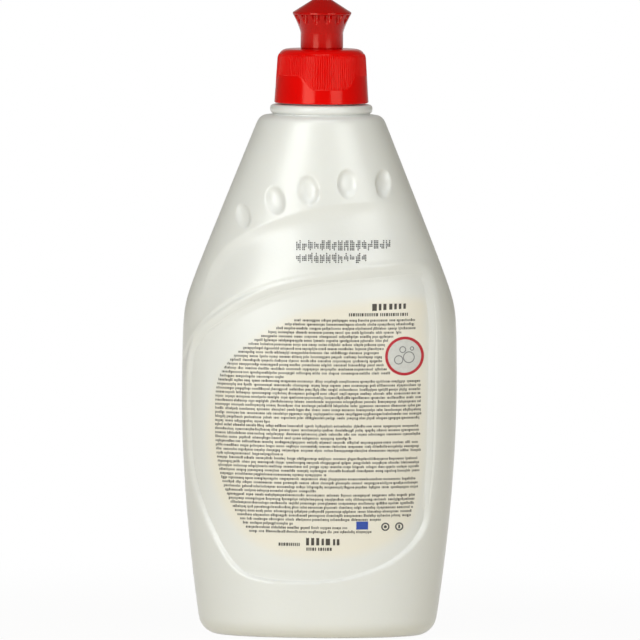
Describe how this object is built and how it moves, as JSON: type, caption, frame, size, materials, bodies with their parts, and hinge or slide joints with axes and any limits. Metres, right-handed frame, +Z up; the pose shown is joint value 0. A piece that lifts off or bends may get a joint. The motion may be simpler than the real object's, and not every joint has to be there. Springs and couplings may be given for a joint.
{
  "type": "dish soap bottle",
  "caption": "Oval blow-moulded squeeze bottle with a recessed label panel, a swept band, finger dimples, a screw closure and a push-pull spout.",
  "frame": {"origin": "centre of the base, in the plane that the bottle stands on", "axes": "+Z up along the neck and cap, X along the broad side, -Y towards the labelled face"},
  "size_m": [0.0894, 0.0504, 0.2065],
  "materials": {
    "pearl_plastic": "pearl, soft sheen",
    "label_film": "satin film",
    "washer_foam": "matte",
    "cap_plastic": "gloss, moulded",
    "spout_plastic": "gloss, moulded"
  },
  "bodies": {
    "bottle_body": {"bottle": "pearl_plastic", "back_label": "label_film"},
    "washer_seat": {"sealing_washer": "washer_foam"},
    "cap": {"closure": "cap_plastic"},
    "nozzle": {"spout": "spout_plastic"}
  },
  "joints": [
    {"name": "cap_lift", "type": "slide", "parent": "bottle_body", "child": "washer_seat", "axis": [0, 0, 1], "range_m": [0, 0.0185]},
    {"name": "cap_turn", "type": "hinge", "parent": "washer_seat", "child": "cap", "pos_m": [0, 0, 0.18], "axis": [0, 0, 1], "range_deg": [0, 1620]},
    {"name": "spout_pull", "type": "slide", "parent": "cap", "child": "nozzle", "axis": [0, 0, 1], "range_m": [0, 0.005]}
  ],
  "couplings": [
    {"joint": "cap_lift", "follows": "cap_turn", "m_per_rad": 0.00063662}
  ]
}
